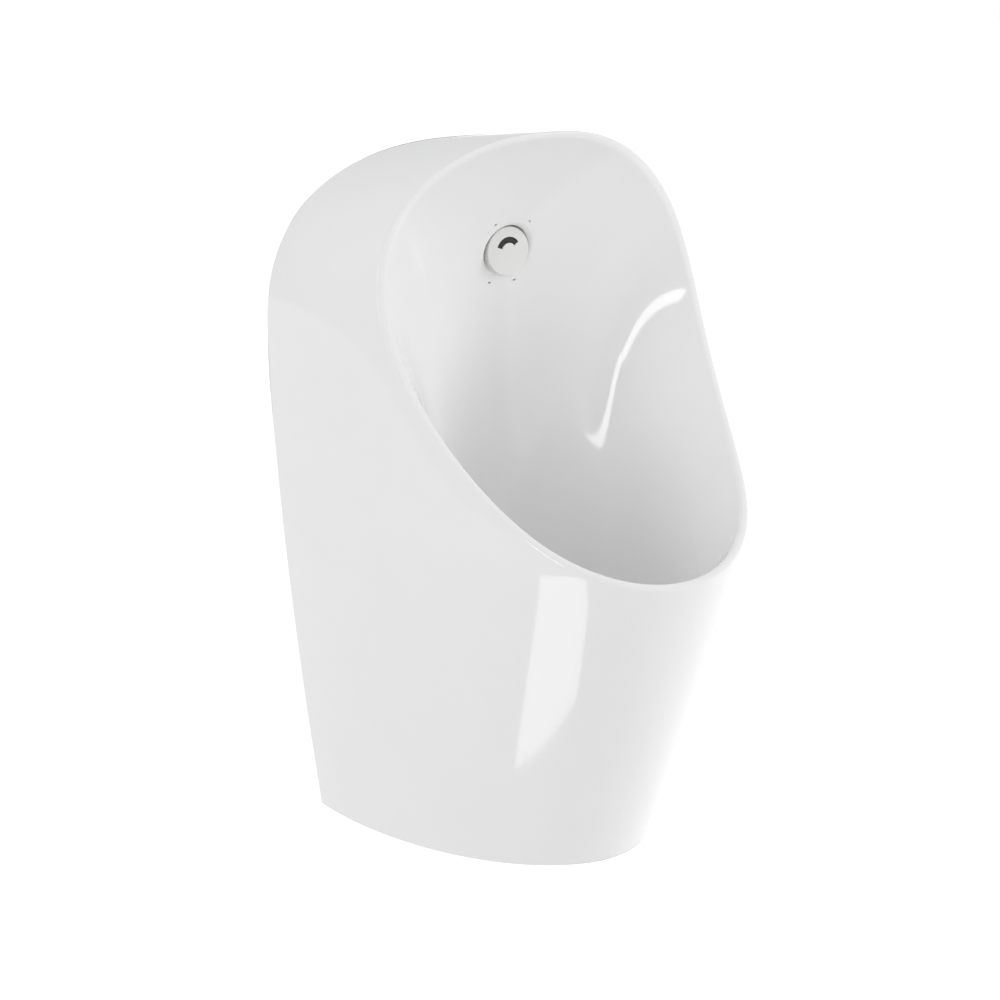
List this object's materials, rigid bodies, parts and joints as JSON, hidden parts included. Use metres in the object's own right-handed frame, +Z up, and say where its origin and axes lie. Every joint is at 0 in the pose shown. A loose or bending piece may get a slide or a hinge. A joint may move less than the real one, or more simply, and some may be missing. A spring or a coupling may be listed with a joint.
{
  "type": "wall hung urinal",
  "caption": "Wall hung ceramic urinal with a swept oval mouth, an upper rear spray head, lift-out strainer, bottle trap with a screw-off cup, and hanger brackets.",
  "frame": {"origin": "in the wall plane, midway between the two hanger holes", "axes": "+X to the right seen from the front, -Y towards the user, +Z up; the wall plane is y = 0"},
  "size_m": [0.3759, 0.3671, 0.5995],
  "materials": {
    "glazed": "white glaze, high gloss",
    "cap_white": "white moulded ABS, high gloss",
    "nozzle_black": "black moulded POM, satin",
    "chromed_brass": "chromed brass, polished",
    "stainless": "stainless steel, brushed",
    "black_rubber": "black EPDM, matt",
    "pipe_plastic": "black polyethylene, satin",
    "trap_plastic": "white polypropylene, satin",
    "saddle_plastic": "grey polyamide, matt"
  },
  "bodies": {
    "root": {"ceramic_body": "glazed", "spray_nozzle": "nozzle_black", "spray_body": "chromed_brass", "spray_lock_nut": "chromed_brass", "waste_fitting": "chromed_brass", "hanger_bracket_left": "stainless", "hanger_bracket_right": "stainless", "lower_wall_plate_left": "stainless", "lower_wall_plate_right": "stainless", "lower_stud_left": "stainless", "lower_stud_right": "stainless", "lower_washer_left": "stainless", "lower_washer_right": "stainless", "lower_nut_left": "stainless", "lower_nut_right": "stainless", "spray_front_gasket": "black_rubber", "spray_rear_gasket": "black_rubber", "inlet_sleeve": "black_rubber", "inlet_grommet": "black_rubber", "waste_gasket": "black_rubber", "waste_under_gasket": "black_rubber", "trap_union_seal": "black_rubber", "outlet_pipe_seal": "black_rubber", "outlet_grommet": "black_rubber", "lower_spacer_left": "black_rubber", "lower_spacer_right": "black_rubber", "inlet_pipe": "pipe_plastic", "outlet_pipe": "pipe_plastic", "waste_nut": "pipe_plastic", "trap_union_nut": "trap_plastic", "trap_dip_tube": "trap_plastic", "trap_body": "trap_plastic", "outlet_pipe_nut": "trap_plastic", "hanger_pad_left": "saddle_plastic", "hanger_pad_right": "saddle_plastic"},
    "strainer": {"outlet_strainer": "stainless"},
    "spray_cap": {"spray_cap": "cap_white"},
    "trap_cup": {"trap_cup": "trap_plastic", "trap_cup_gasket": "black_rubber"}
  },
  "joints": [
    {"name": "strainer_lift", "type": "slide", "parent": "root", "child": "strainer", "axis": [0, 0, 1], "range_m": [0, 0.05]},
    {"name": "spray_cap_pull", "type": "slide", "parent": "root", "child": "spray_cap", "axis": [0, -1, 0], "range_m": [0, 0.02]},
    {"name": "trap_cup_drop", "type": "slide", "parent": "root", "child": "trap_cup", "axis": [0, 0, -1], "range_m": [0, 0.04]}
  ]
}
